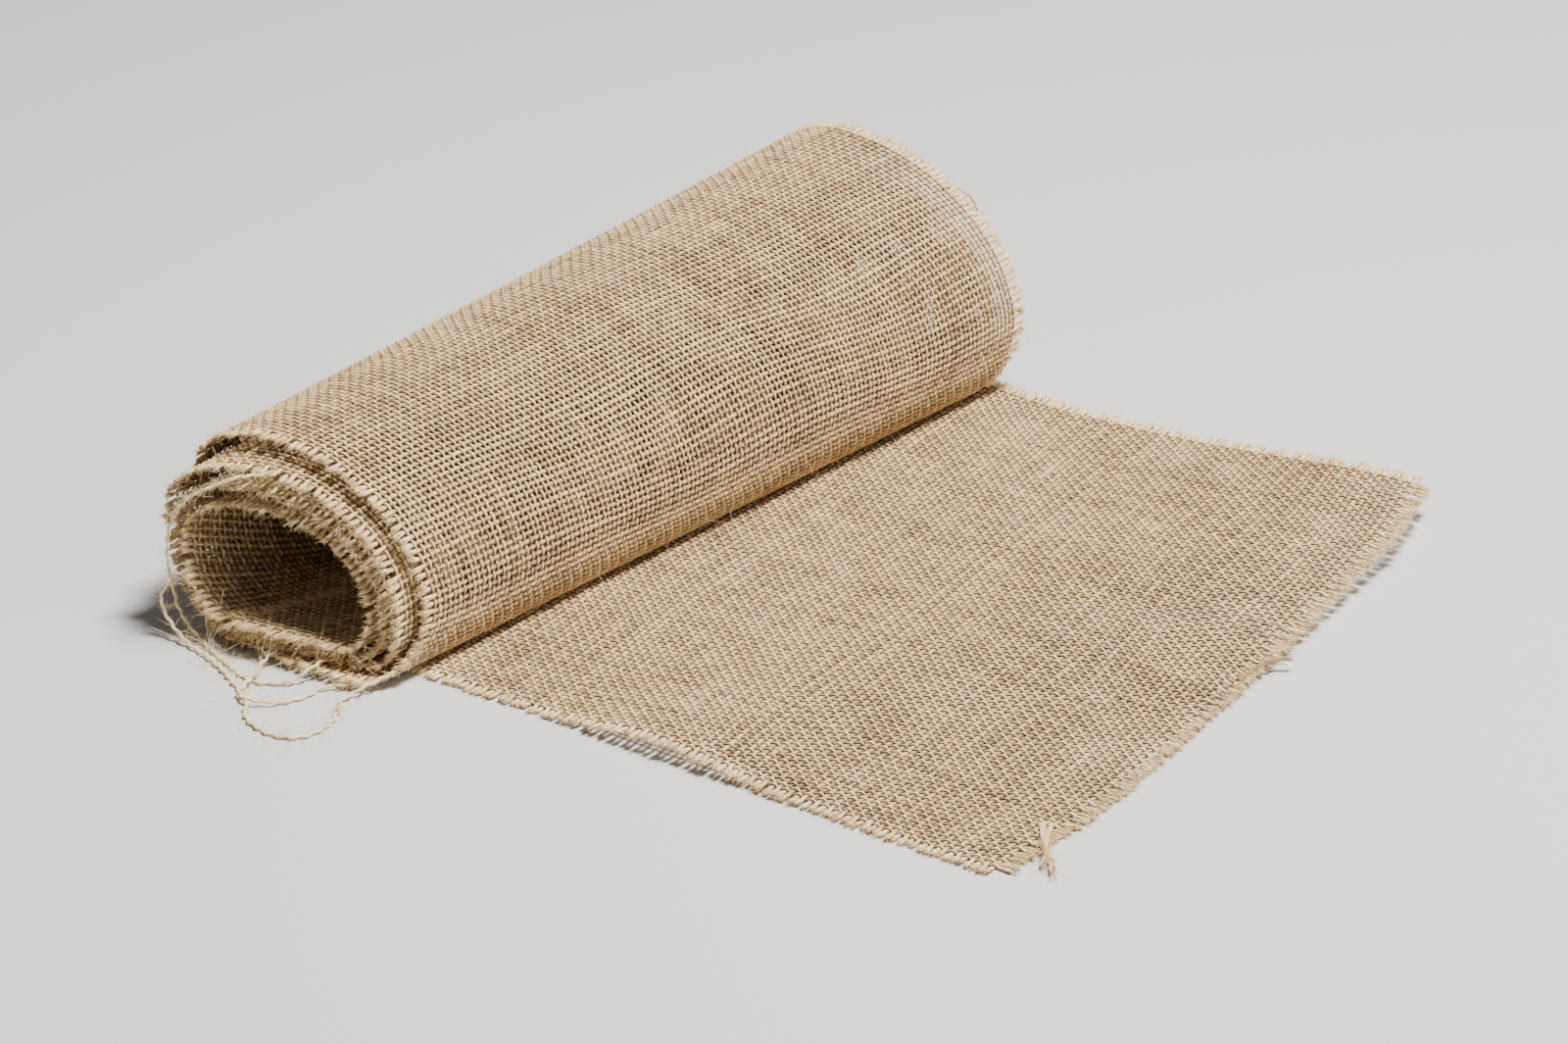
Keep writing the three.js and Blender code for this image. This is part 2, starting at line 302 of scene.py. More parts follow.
def make_piece(name, cuts, material):
    """One mesh object, in metres, from several cuts of tubes."""
    points, strand, tone, loops, sizes, base = [], [], [], [], [], 0
    for (cut_points, cut_strand, cut_tone), cut_loops, cut_sizes in cuts:
        points.append(cut_points)
        strand.append(cut_strand)
        tone.append(cut_tone)
        loops.append(cut_loops + base)
        sizes.append(cut_sizes)
        base += len(cut_points)
    points, strand, tone = (np.concatenate(a) for a in (points, strand, tone))
    loops, sizes = np.concatenate(loops), np.concatenate(sizes)
    mesh = bpy.data.meshes.new(name)
    mesh.vertices.add(len(points))
    mesh.vertices.foreach_set("co", (points * MM).astype(np.float32).ravel())
    mesh.loops.add(len(loops))
    mesh.loops.foreach_set("vertex_index", loops.astype(np.int32))
    mesh.polygons.add(len(sizes))
    first_loops = np.concatenate([[0], np.cumsum(sizes)[:-1]])
    mesh.polygons.foreach_set("loop_start", first_loops.astype(np.int32))
    mesh.polygons.foreach_set("loop_total", sizes.astype(np.int32))
    mesh.polygons.foreach_set("use_smooth", np.ones(len(sizes), bool))
    mesh.update(calc_edges=True)
    mesh.attributes.new("strand", "FLOAT_VECTOR", "POINT").data.foreach_set(
        "vector", strand.astype(np.float32).ravel())
    # The tone: each yarn's own tone, less the painted shade on flanks and between crossings.
    mesh.attributes.new("tone", "FLOAT", "POINT").data.foreach_set(
        "value", tone.astype(np.float32))
    mesh.materials.append(material)
    piece = bpy.data.objects.new(name, mesh)
    bpy.context.scene.collection.objects.link(piece)
    return piece


def waves(rng, count, x, spans, sizes):
    """Smooth random curves, one a row: sums of cosines with random phases."""
    total = 0
    for span, size in zip(spans, sizes):
        phase = rng.uniform(0, 2 * np.pi, (count, 1))
        stretch = rng.uniform(0.75, 1.3, (count, 1))
        total = total + size * np.cos(2 * np.pi * x * stretch / span + phase)
    return total


def field(rng, u, v, spans, size):
    """A smooth random field over the cloth's own two directions."""
    total = 0
    for span in spans:
        heading = rng.uniform(0, 2 * np.pi)
        phase = rng.uniform(0, 2 * np.pi)
        ahead = u * np.cos(heading) + v * np.sin(heading)
        total = total + np.cos(2 * np.pi * ahead / span + phase)
    return size * total / len(spans)


# ---------------------------------------------------------------------------
# Camera
# ---------------------------------------------------------------------------

VIEW_AZIMUTH, VIEW_ELEVATION, VIEW_DISTANCE, VIEW_LENS = 37.39, 24.66, 1.98, 135.0
VIEW_TARGET = Vector((0.0666, 0.0134, -0.0015))


def make_camera():
    """The camera, set as the photograph was taken."""
    azimuth, elevation = math.radians(VIEW_AZIMUTH), math.radians(VIEW_ELEVATION)
    back = Vector((math.sin(azimuth) * math.cos(elevation),
                   -math.cos(azimuth) * math.cos(elevation), math.sin(elevation)))
    camera = bpy.data.objects.new("camera", bpy.data.cameras.new("camera"))
    camera.data.sensor_width = 36.0
    camera.data.lens = VIEW_LENS
    camera.location = VIEW_TARGET + back * VIEW_DISTANCE
    camera.rotation_mode = "QUATERNION"
    camera.rotation_quaternion = (-back).to_track_quat("-Z", "Y")
    bpy.context.scene.collection.objects.link(camera)
    bpy.context.scene.camera = camera


make_camera()


# ---------------------------------------------------------------------------
# Materials
# ---------------------------------------------------------------------------

def jute(name, dark, middle, light, bump):
    """Undyed jute: fibres run along each yarn, every yarn has its own tone, and that tone carries
    painted shade.
    """
    material = bpy.data.materials.new(name)
    material.use_nodes = True
    nodes, links = material.node_tree.nodes, material.node_tree.links
    shader = nodes["Principled BSDF"]
    shader.inputs["Roughness"].default_value = 0.9
    shader.inputs["Specular IOR Level"].default_value = 0.25
    shader.inputs["Sheen Weight"].default_value = 0.18
    shader.inputs["Sheen Roughness"].default_value = 0.5
    strand = nodes.new("ShaderNodeAttribute")
    strand.attribute_name = "strand"
    tone = nodes.new("ShaderNodeAttribute")
    tone.attribute_name = "tone"
    fibres = nodes.new("ShaderNodeTexNoise")
    fibres.inputs["Scale"].default_value = 1.0
    fibres.inputs["Detail"].default_value = 2.5
    fibres.inputs["Roughness"].default_value = 0.6
    links.new(strand.outputs["Vector"], fibres.inputs["Vector"])
    place = nodes.new("ShaderNodeTexCoord")
    patches = nodes.new("ShaderNodeTexNoise")
    patches.inputs["Scale"].default_value = 38.0
    patches.inputs["Detail"].default_value = 3.0
    links.new(place.outputs["Object"], patches.inputs["Vector"])

    def weighted(value, weight, extra):
        """A value times a weight, plus a number or another value."""
        node = nodes.new("ShaderNodeMath")
        node.operation = "MULTIPLY_ADD"
        node.inputs[1].default_value = weight
        links.new(value, node.inputs[0])
        if isinstance(extra, float):
            node.inputs[2].default_value = extra
        else:
            links.new(extra, node.inputs[2])
        return node.outputs[0]

    mixed = weighted(fibres.outputs["Fac"], 0.75, -0.375)
    mixed = weighted(patches.outputs["Fac"], 0.2, mixed)
    mixed = weighted(tone.outputs["Fac"], 1.0, mixed)
    ramp = nodes.new("ShaderNodeValToRGB")
    ramp.color_ramp.elements[0].position = 0.12
    ramp.color_ramp.elements[0].color = (*dark, 1)
    ramp.color_ramp.elements[1].position = 1.0
    ramp.color_ramp.elements[1].color = (*light, 1)
    ramp.color_ramp.elements.new(0.55).color = (*middle, 1)
    links.new(mixed, ramp.inputs["Fac"])
    links.new(ramp.outputs["Color"], shader.inputs["Base Color"])
    relief = nodes.new("ShaderNodeBump")
    relief.inputs["Strength"].default_value = bump
    relief.inputs["Distance"].default_value = 0.00012
    links.new(fibres.outputs["Fac"], relief.inputs["Height"])
    links.new(relief.outputs["Normal"], shader.inputs["Normal"])
    return material


WARP_JUTE = jute("warp_jute", (0.15, 0.075, 0.024), (0.77, 0.55, 0.27), (1.0, 0.865, 0.54), 0.9)
WEFT_JUTE = jute("weft_jute", (0.12, 0.056, 0.017), (0.68, 0.455, 0.21), (0.98, 0.79, 0.46), 0.9)


# ---------------------------------------------------------------------------
# Loose threads
# ---------------------------------------------------------------------------

THREAD_DIAMETER = 1.2
THREAD_CLEARANCE = 1.2
THREAD_STEP = 0.6
THREAD_CRIMP = 0.42
THREAD_TONE = 0.62

# For each thread: the turns where it leaves the near edge and comes back to it, and its route
# between them, with the second number measured from the near edge.
LOOSE_THREADS = {
    "loose_thread_long": (1.41, 1.86, [
        (-10, -21, 60), (-18, -25.5, 56), (-27, -27, 50), (-34, -27, 41), (-37, -26.5, 33),
        (-38, -26, 25), (-37, -25.5, 17), (-34.5, -26, 10), (-30, -26.5, 5), (-24, -27.5, 2),
        (-15, -31, 0.9), (-6, -34.5, 0.8), (3, -38, 0.8), (10, -39, 0.8), (16, -36, 0.8),
        (20, -32.5, 1.6), (23, -27, 4.7)]),
    "loose_thread_looped": (3.13, 0.76, [
        (-33, -26.8, 22), (-36.5, -29.4, 17), (-37.5, -30.2, 11.5), (-34.5, -30.4, 6.5),
        (-29, -31.2, 3), (-22, -32.8, 1.2), (-14, -35, 0.9), (-5, -38.5, 0.8), (4, -43, 0.8),
        (12, -47.5, 0.8), (18, -52, 0.8), (23, -58, 0.8), (30, -62, 0.8), (39, -63.5, 0.8),
        (46, -61, 0.8), (49, -55, 0.8), (48.5, -47, 0.8), (45, -38.5, 0.8), (41, -30.5, 1.3)]),
    "loose_thread_short": (1.93, 0.8, [
        (5, -29, 2.9), (8.5, -36, 2.6), (10.5, -43, 2.5), (13, -49.5, 2.2), (18.5, -51.5, 2.2),
        (24, -48.5, 1.6), (28, -42.5, 0.8), (30, -36, 0.8), (31, -29, 1.4)]),
}


def curve_through(points, steps):
    """Points on a smooth curve through the given ones, evenly spaced along it."""
    p = np.asarray(points, float)
    p = np.concatenate([[2 * p[0] - p[1]], p, [2 * p[-1] - p[-2]]])
    t = np.linspace(0, 1, 24, endpoint=False)[:, None]
    parts = []
    for a, b, c, d in zip(p[:-3], p[1:-2], p[2:-1], p[3:]):
        parts.append(0.5 * (2 * b + (c - a) * t + (2 * a - 5 * b + 4 * c - d) * t ** 2
                            + (3 * b - a - 3 * c + d) * t ** 3))
    line = np.concatenate([*parts, p[-2:-1]])
    run = np.concatenate([[0], np.cumsum(np.linalg.norm(np.diff(line, axis=0), axis=1))])
    at = np.linspace(0, run[-1], steps)
    return np.stack([np.interp(at, run, line[:, k]) for k in range(3)], 1), run[-1]


def hairs(rng, starts, headings, lengths, root, tip, steps, tone, wild=0.45):
    """Thin bent fibres: three-sided tubes from each start, curling away from its heading."""
    n = len(starts)
    headings = headings / (np.linalg.norm(headings, axis=1, keepdims=True) + 1e-9)
    t = np.linspace(0, 1, steps + 1)[None, :, None]
    bend = rng.normal(0, wild, (n, 1, 3))
    curl = rng.normal(0, wild * 0.6, (n, 1, 3))
    line = starts[:, None] + lengths[:, None, None] * (
        headings[:, None] * t + bend * t ** 2 + curl * t ** 3)
    up = np.cross(headings, rng.normal(0, 1, (n, 3)))[:, None] * np.ones((1, steps + 1, 1))
    radius = (root + (tip - root) * t[..., 0]) * rng.uniform(0.8, 1.25, (n, 1))
    return Tubes(line, up, radius, radius, 3, tone, rng)


def loose_thread(name, leaves, returns, route, rng):
    """One warp yarn that has come out. It keeps the waves that the weave pressed into it."""
    def edge(turns):
        return cloth(turns, 0.0) - np.array([0, THREAD_CLEARANCE, 0])

    between = np.array(route, float) + np.array([0, -RIBBON_WIDTH / 2, 0])
    knots = np.concatenate([[edge(leaves)], between, [edge(returns)]])
    _, length = curve_through(knots, 2)
    count = int(length / THREAD_STEP)
    line, length = curve_through(knots, count)
    along = np.linspace(0, length, count)
    tangent = np.gradient(line, axis=0)
    tangent /= np.linalg.norm(tangent, axis=1, keepdims=True)
    side = np.cross(tangent, (0.12, 0.2, 1.0))
    side /= np.linalg.norm(side, axis=1, keepdims=True)
    wave = THREAD_CRIMP * np.sin(2 * np.pi * along / (2 * WEFT_PITCH) + 0.8 * np.sin(along / 17))
    line = line + side * wave[:, None]
    line[:, 2] = np.maximum(line[:, 2], THREAD_DIAMETER / 2)
    radius = THREAD_DIAMETER / 2 * (0.86 + waves(rng, 1, along, (9, 31), (0.07, 0.08)))
    tone = THREAD_TONE + waves(rng, 1, along, (11, 37), (0.07, 0.07))
    up = np.cross(side, tangent)[None]
    tube = Tubes(line[None], up, radius, radius, 9, tone, rng, twist=1.9)
    piece = make_piece(name + "_yarn", [tube.cut()], WARP_JUTE)
    pick = rng.integers(2, count - 2, int(length * 1.5))
    out = rng.normal(0, 1, (len(pick), 3))
    out -= (out * tangent[pick]).sum(1, keepdims=True) * tangent[pick] * 0.3
    out[:, 2] = np.abs(out[:, 2]) * 0.6
    fluff = hairs(rng, line[pick] + 0.3 * out / np.linalg.norm(out, axis=1, keepdims=True), out,
                  rng.gamma(2.0, 1.9, len(pick)), 0.075, 0.035, 5, 0.7)
    fluff.points[..., 2] = np.maximum(fluff.points[..., 2], FLOOR_GAP)
    fuzz = make_piece(name + "_hairs", [fluff.cut()], WARP_JUTE)
    for made in (piece, fuzz):
        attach(made, "roll")
    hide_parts(name)


for order, (name, (leaves, returns, route)) in enumerate(LOOSE_THREADS.items()):
    loose_thread(name, leaves, returns, route, np.random.default_rng(SEED + 50 + order))


# ---------------------------------------------------------------------------
# The woven cloth
# ---------------------------------------------------------------------------

# The first crosswise yarn lies this far in from the free end.
END_MARGIN = 4.0
WEFTS = int((STRIP_LENGTH - 2 * END_MARGIN) / WEFT_PITCH) + 1
WARP_HALF_WIDTH, WARP_HALF_HEIGHT, WARP_RISE, WARP_LEAN = 0.6, 0.4, 0.55, 0.14
WEFT_HALF_WIDTH, WEFT_HALF_HEIGHT, WEFT_RISE = 0.7, 0.42, 0.45

# Tones of the two directions, the painted shade on a yarn between crossings, how much darker it is
# where it is cut, and the painted shade on its flanks, inside the weave and at its cut ends.
WARP_TONE, WEFT_TONE, BETWEEN_SHADE, CUT_TONE = 0.78, 0.74, 0.26, 0.06
FLANK_SHADE, CUT_FLANK_SHADE = 0.55, 0.12

# The free end bows outwards between its corners, and the far edge is drawn in beside the roll.
FREE_END_BELLY, BELLY_REACH = 6.5, 70.0
FAR_WAIST, FAR_WAIST_AT, FAR_WAIST_REACH = 4.5, 148.0, 34.0

# A crosswise yarn that has been pulled out of the free end, and the ladder that it leaves.
PULLED_AT, PULLED_REACH, PULLED_OUT = 146.0, 22.0, 1.4
PULLED_THICKER, PULLED_DARKER = 0.5, 0.28

# Cut ends beyond the last crossing: along the edges, and along the ribbon's two ends.
EDGE_FRINGE = np.array([1.9, 3.7, 5.2])
END_FRINGE = np.array([2.3, 4.6, 6.4])
EDGE_TAPER = np.array([1.15, 1.45, 1.3])
END_TAPER = np.array([1.1, 1.3, 1.15])

rng = np.random.default_rng(SEED)


def drift(length, across_mm):
    """How far the weave has shifted from its even spacing, along the cloth and across it."""
    r = np.random.default_rng(SEED + 1)
    along = field(r, length, across_mm, (170, 120, 85, 60), 2.0)
    over = field(r, length, across_mm, (190, 130, 75, 50), 1.2)
    share = across_mm / RIBBON_WIDTH
    belly = smoothstep(share, -0.02, 0.22) * (1 - smoothstep(share, 0.84, 1.02))
    along = along * smoothstep(length, -5, 40)
    along = along - FREE_END_BELLY * belly * np.exp(-np.abs(length) / BELLY_REACH)
    waist = np.exp(-((length - FAR_WAIST_AT) / FAR_WAIST_REACH) ** 2)
    waist = waist * smoothstep(share, 0.7, 1.0)
    return along, over - FAR_WAIST * waist


def on_cloth(length, across_mm, lift):
    """Points lifted off the middle of the cloth, and the normals and places there."""
    along, over = drift(length, across_mm)
    across = (across_mm + over) / RIBBON_WIDTH
    place = place_at(length + along, across)
    normal = face_up(place, np.clip(across, 0, 1))
    return cloth(place, across) + normal * lift[..., None], normal, place


def clumps(r, count, pitch, pull):
    """How far each cut end leans sideways at its tip, in clumps of one to four ends."""
    lean = np.zeros(count)
    first = 0
    while first < count:
        size = int(r.choice([1, 2, 3, 4], p=[0.2, 0.4, 0.28, 0.12]))
        ends = np.arange(first, min(first + size, count))
        lean[ends] = (ends.mean() - ends) * pitch * pull + r.normal(0, 0.32)
        first += size
    return lean


def slubs(r, count, x, chance, size):
    """Thick places in the yarns: a row of factors for each."""
    where = r.uniform(x.min(), x.max(), (count, 4, 1))
    reach = r.uniform(2.5, 7.0, (count, 4, 1))
    high = size * r.random((count, 4, 1)) * (r.random((count, 4, 1)) < chance)
    return 1 + (high * np.exp(-((x[None, None] - where) / reach) ** 2)).sum(1)


def warp_yarns(r):
    """Lengthwise yarns: a ring at each crossing and between, and their cut ends."""
    core = END_MARGIN + np.arange(2 * WEFTS - 1) * WEFT_PITCH / 2
    spans = np.concatenate([-END_FRINGE[::-1], np.zeros(len(core)), END_FRINGE])
    rest = np.concatenate([np.full(3, core[0]), core, np.full(3, core[-1])])
    length = rest[None] + spans[None] * r.uniform(0.86, 1.1, (WARPS, 1))
    j = np.arange(WARPS)[:, None]
    k = np.arange(2 * WEFTS - 1)[None]
    sign = np.where(k % 2 == 0, np.where((k // 2 + j) % 2 == 0, 1.0, -1.0), 0.0)
    sign = np.concatenate([np.zeros((WARPS, 3)), sign, np.zeros((WARPS, 3))], 1)
    across = EDGE_MARGIN + j * WARP_PITCH + WARP_LEAN * sign
    across = across + waves(r, WARPS, rest[None], (23, 61), (0.07, 0.1))
    tip = np.abs(spans) / END_FRINGE[-1]
    across = across + clumps(r, WARPS, WARP_PITCH, 0.26)[:, None] * tip * (rest < 10)
    lift = WARP_RISE * sign + r.normal(0.1, 0.25, (WARPS, 1)) * tip
    centres, normal, place = on_cloth(length, across, lift)
    taper = np.concatenate([END_TAPER[::-1], np.ones(len(core)), END_TAPER])
    thick = 1 + waves(r, WARPS, rest[None], (13, 47), (0.06, 0.07))
    thick = thick * slubs(r, WARPS, rest, 0.6, 0.35)
    tone = WARP_TONE + r.normal(0, 0.05, (WARPS, 1))
    tone = tone + waves(r, WARPS, rest[None], (29, 83), (0.04, 0.04))
    # Painted shade: the yarn is darker where it dips between crossings, and on its cut ends too.
    return centres, normal, place, thick * taper, tone + BETWEEN_SHADE * (np.abs(sign) - 1)


def weft_yarns(r):
    """Crosswise yarns: a ring at each crossing and between, and their cut ends."""
    core = EDGE_MARGIN + np.arange(2 * WARPS - 1) * WARP_PITCH / 2
    spans = np.concatenate([-EDGE_FRINGE[::-1], np.zeros(len(core)), EDGE_FRINGE])
    rest = np.concatenate([np.full(3, core[0]), core, np.full(3, core[-1])])
    across = rest[None] + spans[None] * r.uniform(0.84, 1.14, (WEFTS, 1))
    i = np.arange(WEFTS)[:, None]
    k = np.arange(2 * WARPS - 1)[None]
    sign = np.where(k % 2 == 0, np.where((i + k // 2) % 2 == 0, -1.0, 1.0), 0.0)
    sign = np.concatenate([np.zeros((WEFTS, 3)), sign, np.zeros((WEFTS, 3))], 1)
    length = END_MARGIN + i * WEFT_PITCH + waves(r, WEFTS, rest[None], (19, 53), (0.08, 0.12))
    pulled = np.exp(-((rest[None] - PULLED_AT) / PULLED_REACH) ** 2) * (i == 0)
    length = length - PULLED_OUT * pulled
    tip = np.abs(spans) / EDGE_FRINGE[-1]
    lean = np.where(rest < RIBBON_WIDTH / 2, clumps(r, WEFTS, WEFT_PITCH, 0.2)[:, None],
                    clumps(r, WEFTS, WEFT_PITCH, 0.34)[:, None])
    length = length + lean * tip
    lift = WEFT_RISE * sign + r.normal(0.0, 0.22, (WEFTS, 1)) * tip
    centres, normal, place = on_cloth(length, across, lift)
    taper = np.concatenate([EDGE_TAPER[::-1], np.ones(len(core)), EDGE_TAPER])
    thick = 1 + waves(r, WEFTS, rest[None], (11, 37), (0.07, 0.08))
    thick = thick * slubs(r, WEFTS, rest, 0.6, 0.4)
    tone = WEFT_TONE + r.normal(0, 0.06, (WEFTS, 1))
    tone = tone + waves(r, WEFTS, rest[None], (23, 71), (0.05, 0.04))
    # Painted shade: the yarn is darker where it dips between crossings.
    tone = tone + BETWEEN_SHADE * (np.abs(sign) - 1) * (tip == 0) - CUT_TONE * (tip > 0)
    thick = thick * taper * (1 + PULLED_THICKER * pulled)
    return centres, normal, place, thick, tone - PULLED_DARKER * pulled


def on_floor(tubes):
    """The same tubes, with no point below the floor."""
    tubes.points[..., 2] = np.maximum(tubes.points[..., 2], FLOOR_GAP)
    return tubes


class Yarns:
    """One direction's yarns, as tubes at three levels of detail."""

    def __init__(self, made, half_width, half_height, sides, r):
        centres, normal, place, thick, tone = made
        self.centres, self.normal, self.place = centres, normal, place
        # Painted shade on the yarns' flanks, less of it on their cut ends.
        flank_shade = np.full(centres.shape[1], FLANK_SHADE)
        flank_shade[:3] = flank_shade[-3:] = CUT_FLANK_SHADE
        self.levels = []
        for step, drop in ((1, 0), (1, 1), (2, 1)):
            pick = slice(1 if step == 2 else 0, None, step)
            tubes = Tubes(centres[:, pick], normal[:, pick], half_width * thick[:, pick],
                          half_height * thick[:, pick], sides - drop, tone[:, pick], r,
                          flank_shade=flank_shade[pick])
            middle = (place[:, pick][:, :-1] + place[:, pick][:, 1:]) / 2
            self.levels.append((on_floor(tubes), middle))

    def between(self, low, high, level):
        """The part of the yarns between two places, at a level of detail."""
        tubes, middle = self.levels[level]
        return tubes.cut((middle >= low) & (middle < high))


warps = Yarns(warp_yarns(rng), WARP_HALF_WIDTH, WARP_HALF_HEIGHT, 6, rng)
wefts = Yarns(weft_yarns(rng), WEFT_HALF_WIDTH, WEFT_HALF_HEIGHT, 6, rng)


# ---------------------------------------------------------------------------
# Frayed ends and loose fibres
# ---------------------------------------------------------------------------

# For each edge of the cloth: its yarns, their last ring inside the weave, their tip, and the
# fibres at each cut end.
CUT_EDGES = ((wefts, 3, 0, 22), (wefts, -4, -1, 14), (warps, 3, 0, 20), (warps, -4, -1, 8))


def edge_fibres(r):
    """Fibres that fan out of every cut end, as starts, headings, lengths and places."""
    found = []
    for yarns, inner, outer, each in CUT_EDGES:
        base, tip = yarns.centres[:, inner], yarns.centres[:, outer]
        reach = np.linalg.norm(tip - base, axis=1, keepdims=True)
        for _ in range(each):
            at = r.uniform(0.4, 0.85, (len(base), 1))
            start = base + (tip - base) * at + r.normal(0, 0.42, base.shape)
            heading = (tip - base) / reach + r.normal(0, 0.24, base.shape)
            length = reach[:, 0] * (1.06 - at[:, 0]) * r.uniform(0.8, 1.3, len(base))
            found.append((start, heading, length, yarns.place[:, inner]))
    return [np.concatenate(a) for a in zip(*found)]


def surface_hairs(r, count):
    """Fine hairs that stand up from the yarns, on the face that shows."""
    found = []
    for yarns, share in ((wefts, 0.6), (warps, 0.4)):
        n, m = yarns.place.shape
        row, col = r.integers(0, n, int(count * share)), r.integers(4, m - 4, int(count * share))
        place = yarns.place[row, col]
        seen = (place < 1.1) | (r.random(len(place)) < 0.15)
        row, col, place = row[seen], col[seen], place[seen]
        side = np.where(place < 0.05, 1.0, -1.0) * np.where(place > 3, -1.0, 1.0)
        normal = yarns.normal[row, col] * side[:, None]
        heading = normal * r.uniform(0.25, 1.0, (len(row), 1)) + r.normal(0, 0.6, normal.shape)
        start = yarns.centres[row, col] + normal * 0.35
        found.append((start, heading, r.gamma(2.2, 1.1, len(row)), place))
    return [np.concatenate(a) for a in zip(*found)]


class Fibres:
    """Loose fibres, each of which belongs to the stretch of cloth that it grows from."""

    def __init__(self, found, root, tip, steps, tone, wild, r):
        starts, headings, lengths, self.place = found
        self.tubes = on_floor(hairs(r, starts, headings, lengths, root, tip, steps, tone, wild))

    def between(self, low, high):
        """The fibres that grow between two places."""
        n, m, _ = self.tubes.shape
        inside = (self.place >= low) & (self.place < high)
        return self.tubes.cut(np.repeat(inside[:, None], m - 1, 1))


# The tuft at the near free corner: its root and tip, and how far each yarn lies to the side and
# how much of the way it goes.
TUFT_ROOT, TUFT_TIP = np.array([266.0, -117.5, 1.6]), np.array([284.0, -142.0, 1.3])
TUFT_YARNS = ((-1.4, 0.92), (0.3, 1.0), (1.6, 0.86))
TUFT_RINGS, TUFT_FIBRES = 28, 60

# The end of the pulled yarn beyond the fringe, and the loop at the roll's far end.
PULLED_END = [(259.5, -2, 3.0), (259.5, 8, 3.5), (262, 15, 4.0), (266, 18.5, 4.2)]
PULLED_RINGS, PULLED_FIBRES = 24, 50
FAR_LOOP = [(33, 149, 68), (36, 153, 68.5), (40, 156.5, 65), (42.5, 157, 60),
            (41.5, 154.5, 55.5), (40.5, 150, 54)]
LOOP_RINGS, LOOP_FIBRES = 40, 26


def tuft_yarns(r):
    """Crosswise yarns that hang out of the free end, and their splayed fibres."""
    strands, fibres = [], []
    for spread, reach in TUFT_YARNS:
        root = TUFT_ROOT + r.normal(0, 0.5, 3) * (1, 1, 0.2)
        ahead = TUFT_TIP - root
        out = ahead / np.linalg.norm(ahead)
        beside = np.array([out[1], -out[0], 0.0])
        knots = [root + ahead * reach * t
                 + beside * (spread * t + 1.3 * math.sin(5 * t + spread))
                 + np.array([0, 0, 1.4 * math.sin(math.pi * t)]) for t in np.linspace(0, 1, 7)]
        line, _ = curve_through(knots, TUFT_RINGS)
        radius = np.linspace(0.85, 0.5, TUFT_RINGS)
        up = np.array([0, 0, 1.0]) + np.zeros((1, TUFT_RINGS, 3))
        strands.append(Tubes(line[None], up, radius, radius, 8, 0.55, r, twist=1.6))
        pick = r.integers(4, TUFT_RINGS, TUFT_FIBRES)
        heading = out + r.normal(0, 0.34, (TUFT_FIBRES, 3))
        start = line[pick] + r.normal(0, 0.35, (TUFT_FIBRES, 3))
        length = r.uniform(1.5, 4.5, TUFT_FIBRES) * (0.5 + pick / TUFT_RINGS)
        fibres.append(hairs(r, start, heading, length, 0.13, 0.05, 6, 0.6, 0.3))
    return [on_floor(t).cut() for t in strands + fibres]


def pulled_end(r):
    """The end of the pulled yarn, which sticks out of the fringe."""
    line, _ = curve_through(PULLED_END, PULLED_RINGS)
    radius = np.linspace(0.95, 0.6, PULLED_RINGS)
    up = np.array([0, 0, 1.0]) + np.zeros((1, PULLED_RINGS, 3))
    yarn = Tubes(line[None], up, radius, radius * 0.7, 8, 0.2, r)
    pick = r.integers(6, PULLED_RINGS, PULLED_FIBRES)
    start = line[pick] + r.normal(0, 0.4, (PULLED_FIBRES, 3))
    heading = np.array([0.6, 0.6, 0.1]) + r.normal(0, 0.4, (PULLED_FIBRES, 3))
    fibres = hairs(r, start, heading, r.uniform(1, 4, PULLED_FIBRES), 0.12, 0.05, 4, 0.3, 0.3)
    return [on_floor(yarn).cut(), on_floor(fibres).cut()]


def far_loop(r):
    """A yarn that stands out of the roll's far end in a loop."""
    line, _ = curve_through(FAR_LOOP, LOOP_RINGS)
    up = np.array([1.0, 0, 0.3]) + np.zeros((1, LOOP_RINGS, 3))
    yarn = Tubes(line[None], up, 0.5, 0.5, 8, THREAD_TONE, r, twist=1.8)
    pick = r.integers(3, LOOP_RINGS - 2, LOOP_FIBRES)
    heading = r.normal(0, 1, (LOOP_FIBRES, 3))
    fibres = hairs(r, line[pick], heading, r.uniform(1, 4, LOOP_FIBRES), 0.055, 0.03, 5, 0.7)
    return [on_floor(yarn).cut(), on_floor(fibres).cut()]


SURFACE_HAIRS = 6500

# Extra yarns and fibres of a stretch, by its name.
EXTRA = {"tail_end": tuft_yarns(rng) + pulled_end(rng), "outer_turn_back": far_loop(rng)}
fray = Fibres(edge_fibres(rng), 0.15, 0.07, 3, 0.62, 0.16, rng)
fluff = Fibres(surface_hairs(rng, SURFACE_HAIRS), 0.055, 0.03, 4, 0.75, 0.45, rng)


# ---------------------------------------------------------------------------
# Stretches of the strip; those that lie across no joint are attached to their CAD bodies
# ---------------------------------------------------------------------------

def place_of_x(x):
    """The place at a distance along the rolled-out cloth."""
    return (LIFT_OFF_X - x) / FLAT_UNIT


def point_at(place):
    """The middle of the cloth at a place, in metres."""
    return Vector(cloth(place, 0.5) * MM)


# This much of the cloth on each side of the fold's line is listed for the fold, and its piece is
# longer still.
FOLD_REACH = 24.0
FOLD_PIECE = place_of_x(108), place_of_x(44)
FIRST_MIDDLE, SECOND_MIDDLE, THIRD_MIDDLE = PANEL_MIDDLES
ROLL_START = 0.3
FOLD_FROM, FOLD_TO = place_of_x(TAIL_FOLD_X + FOLD_REACH), place_of_x(TAIL_FOLD_X - FOLD_REACH)
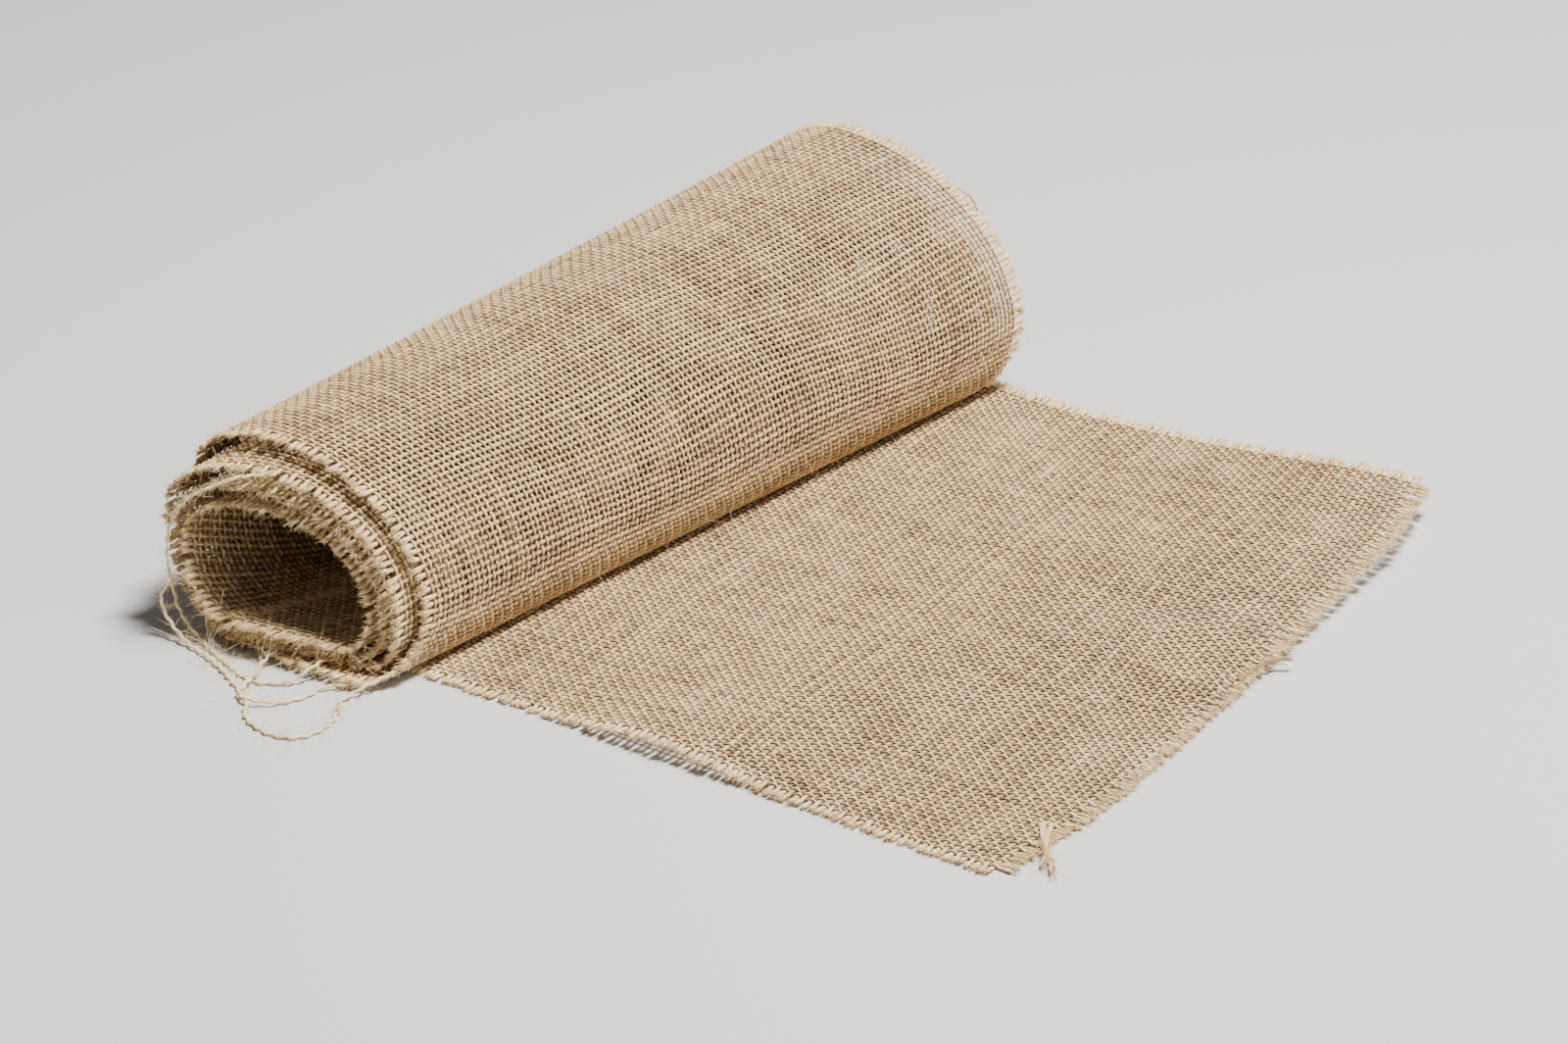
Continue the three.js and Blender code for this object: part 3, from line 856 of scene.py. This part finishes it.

# name, first place, last place, level of detail, CAD node, body, and for a stretch that lies across
# a joint the second body and two places along the cloth.
STRETCHES = [
    ("tail_end", -1.3, FOLD_PIECE[0], 0, "tail_end_panel", "tail_end", None),
    ("tail_fold", FOLD_PIECE[0], FOLD_PIECE[1], 0, None, "tail_end",
     ("tail_base", FOLD_FROM, FOLD_TO)),
    ("tail_base", FOLD_PIECE[1], FIRST_MIDDLE, 0, "tail_base_panel", "tail_base",
     ("rising_1", place_of_x(-6), FIRST_MIDDLE)),
    ("rising_low", FIRST_MIDDLE, SECOND_MIDDLE, 0, "rising_panel_1", "rising_1",
     ("rising_2", FIRST_MIDDLE, SECOND_MIDDLE)),
    ("rising_middle", SECOND_MIDDLE, THIRD_MIDDLE, 0, "rising_panel_2", "rising_2",
     ("rising_3", SECOND_MIDDLE, THIRD_MIDDLE)),
    ("rising_high", THIRD_MIDDLE, 0.33, 0, "rising_panel_3", "rising_3",
     ("roll", THIRD_MIDDLE, ROLL_START)),
    ("outer_turn_back", 0.33, 0.66, 0, "outer_turn", "roll", None),
    ("outer_turn_front", 0.66, 1.0, 0, None, "roll", None),
    ("second_turn_back", 1.0, 1.5, 1, "second_turn", "roll", None),
    ("second_turn_front", 1.5, 2.0, 1, None, "roll", None),
    ("third_turn", 2.0, 3.0, 2, "third_turn", "roll", None),
    ("fourth_turn", 3.0, 5.0, 1, "fourth_turn", "roll", None),
]


for name, low, high, level, node, body, bend in STRETCHES:
    weft_piece = make_piece(name + "_wefts", [wefts.between(low, high, level)], WEFT_JUTE)
    warp_piece = make_piece(name + "_warps", [warps.between(low, high, level)], WARP_JUTE)
    fuzz_piece = make_piece(name + "_fuzz", [fray.between(low, high), fluff.between(low, high),
                                             *EXTRA.get(name, [])], WEFT_JUTE)
    for piece in (weft_piece, warp_piece, fuzz_piece):
        if bend is None:
            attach(piece, body)
        else:
            point_at(bend[1])
            point_at(bend[2])
            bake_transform(piece)
    if node is not None:
        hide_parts(node)


# ---------------------------------------------------------------------------
# Floor and light
# ---------------------------------------------------------------------------

FLOOR_SIZE, FLOOR_COLOUR, FLOOR_ROUGHNESS = 6.0, (0.56, 0.55, 0.53), 0.8
SKY_COLOUR, SKY_STRENGTH = (0.9, 0.93, 1.0, 1), 0.14


def plain(name, colour, roughness):
    """A material of one colour."""
    material = bpy.data.materials.new(name)
    material.use_nodes = True
    shader = material.node_tree.nodes["Principled BSDF"]
    shader.inputs["Base Color"].default_value = (*colour, 1)
    shader.inputs["Roughness"].default_value = roughness
    return material


def make_floor():
    """A square floor at the height on which the part rests."""
    mesh = bpy.data.meshes.new("floor")
    size = FLOOR_SIZE
    corners = [(-size, -size, 0), (size, -size, 0), (size, size, 0), (-size, size, 0)]
    mesh.from_pydata(corners, [], [(0, 1, 2, 3)])
    mesh.materials.append(plain("floor", FLOOR_COLOUR, FLOOR_ROUGHNESS))
    floor = bpy.data.objects.new("floor", mesh)
    bpy.context.scene.collection.objects.link(floor)


def soft_light(name, direction, distance, size, power):
    """A round lamp, in a direction and at a distance from the point that the camera sees."""
    lamp = bpy.data.lights.new(name, "AREA")
    lamp.shape = "DISK"
    lamp.size = size
    lamp.energy = power
    light = bpy.data.objects.new(name, lamp)
    toward = Vector(direction).normalized()
    light.location = VIEW_TARGET + toward * distance
    light.rotation_mode = "QUATERNION"
    light.rotation_quaternion = (-toward).to_track_quat("-Z", "Y")
    bpy.context.scene.collection.objects.link(light)


make_floor()
soft_light("key", (0.3, 0.1, 1.0), 1.7, 0.45, 84)
soft_light("fill", (1.0, 0.05, 0.5), 2.0, 1.2, 8)
world = bpy.data.worlds.new("studio")
world.use_nodes = True
world.node_tree.nodes["Background"].inputs["Color"].default_value = SKY_COLOUR
world.node_tree.nodes["Background"].inputs["Strength"].default_value = SKY_STRENGTH
bpy.context.scene.world = world
